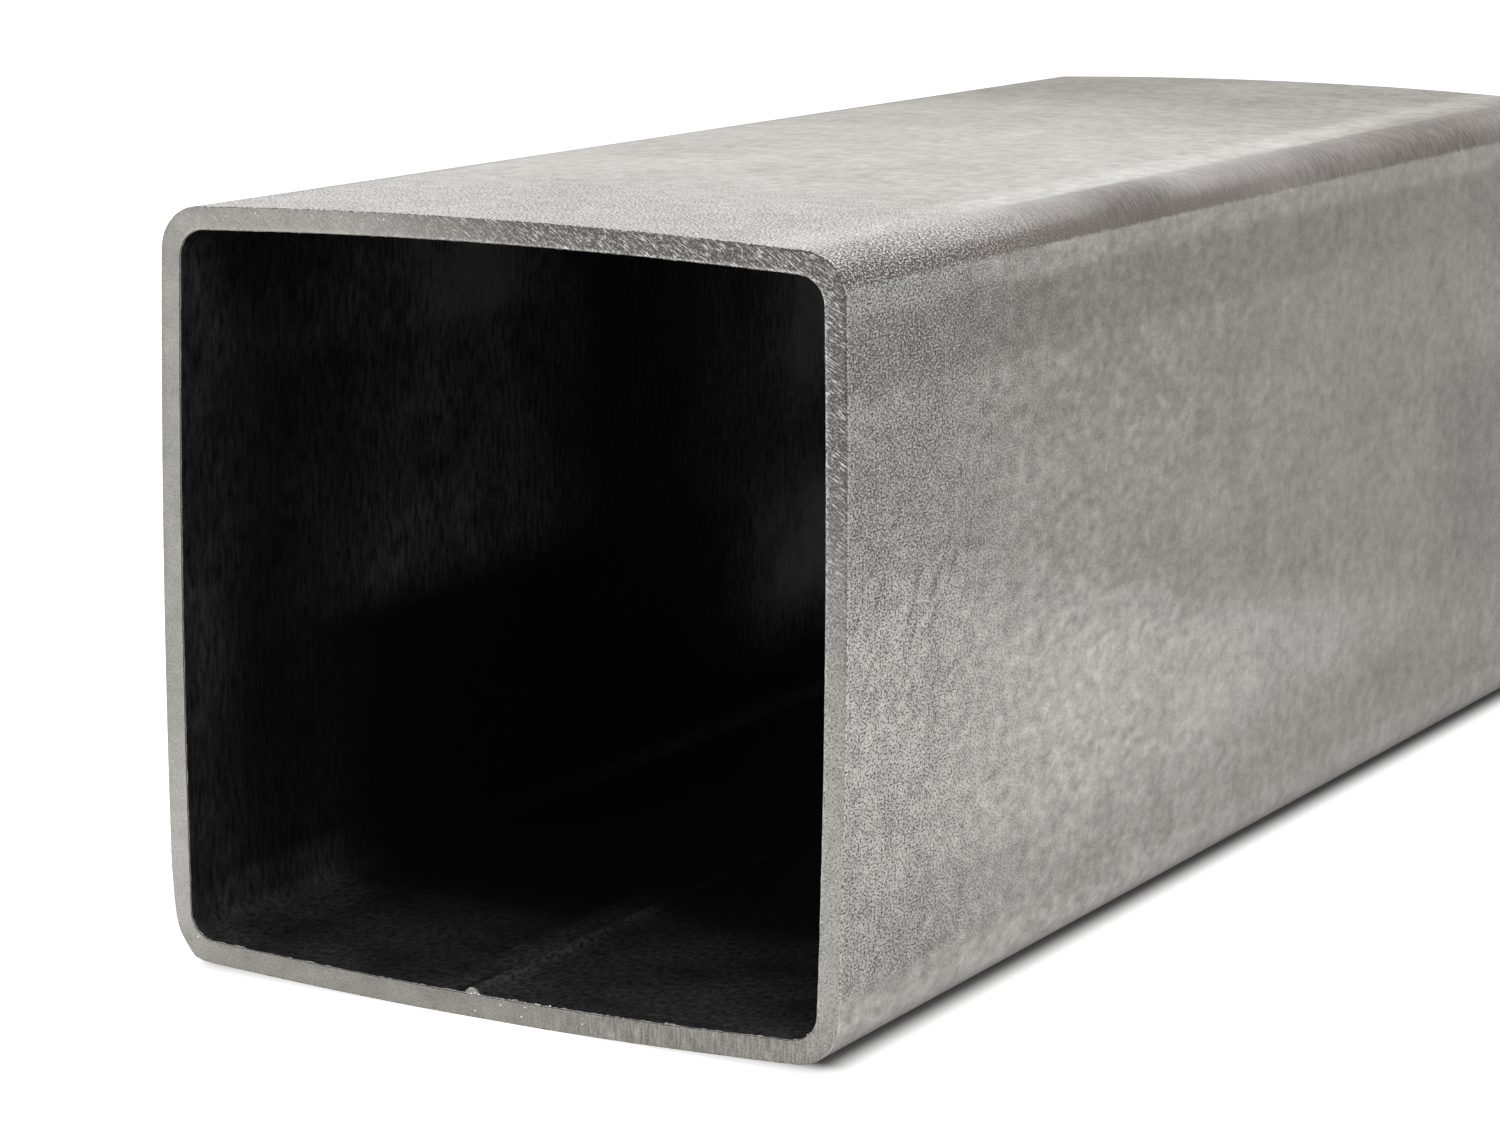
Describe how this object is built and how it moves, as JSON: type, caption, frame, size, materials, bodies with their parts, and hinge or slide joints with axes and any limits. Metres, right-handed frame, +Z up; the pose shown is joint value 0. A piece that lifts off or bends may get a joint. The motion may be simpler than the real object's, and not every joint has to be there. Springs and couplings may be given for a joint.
{
  "type": "square metal tube",
  "caption": "Short cut of square hollow steel tube for frames and posts, with slightly bowed flats, rounded corners, sawn ends and a low weld bead along the inside of its base.",
  "frame": {"origin": "on the floor under the middle of the tube, halfway between the sawn ends, in the plane of the planed strip it lies on", "axes": "+X across the tube, +Y along it from the near sawn end to the far one, +Z up from the welded side"},
  "size_m": [0.1004, 0.26, 0.1018],
  "materials": {
    "mill_steel": "bare hot-rolled steel with a fine grey speckled skin, sawn bright at the ends and dark inside"
  },
  "bodies": {
    "root": {"square_tube": "mill_steel"}
  },
  "joints": []
}
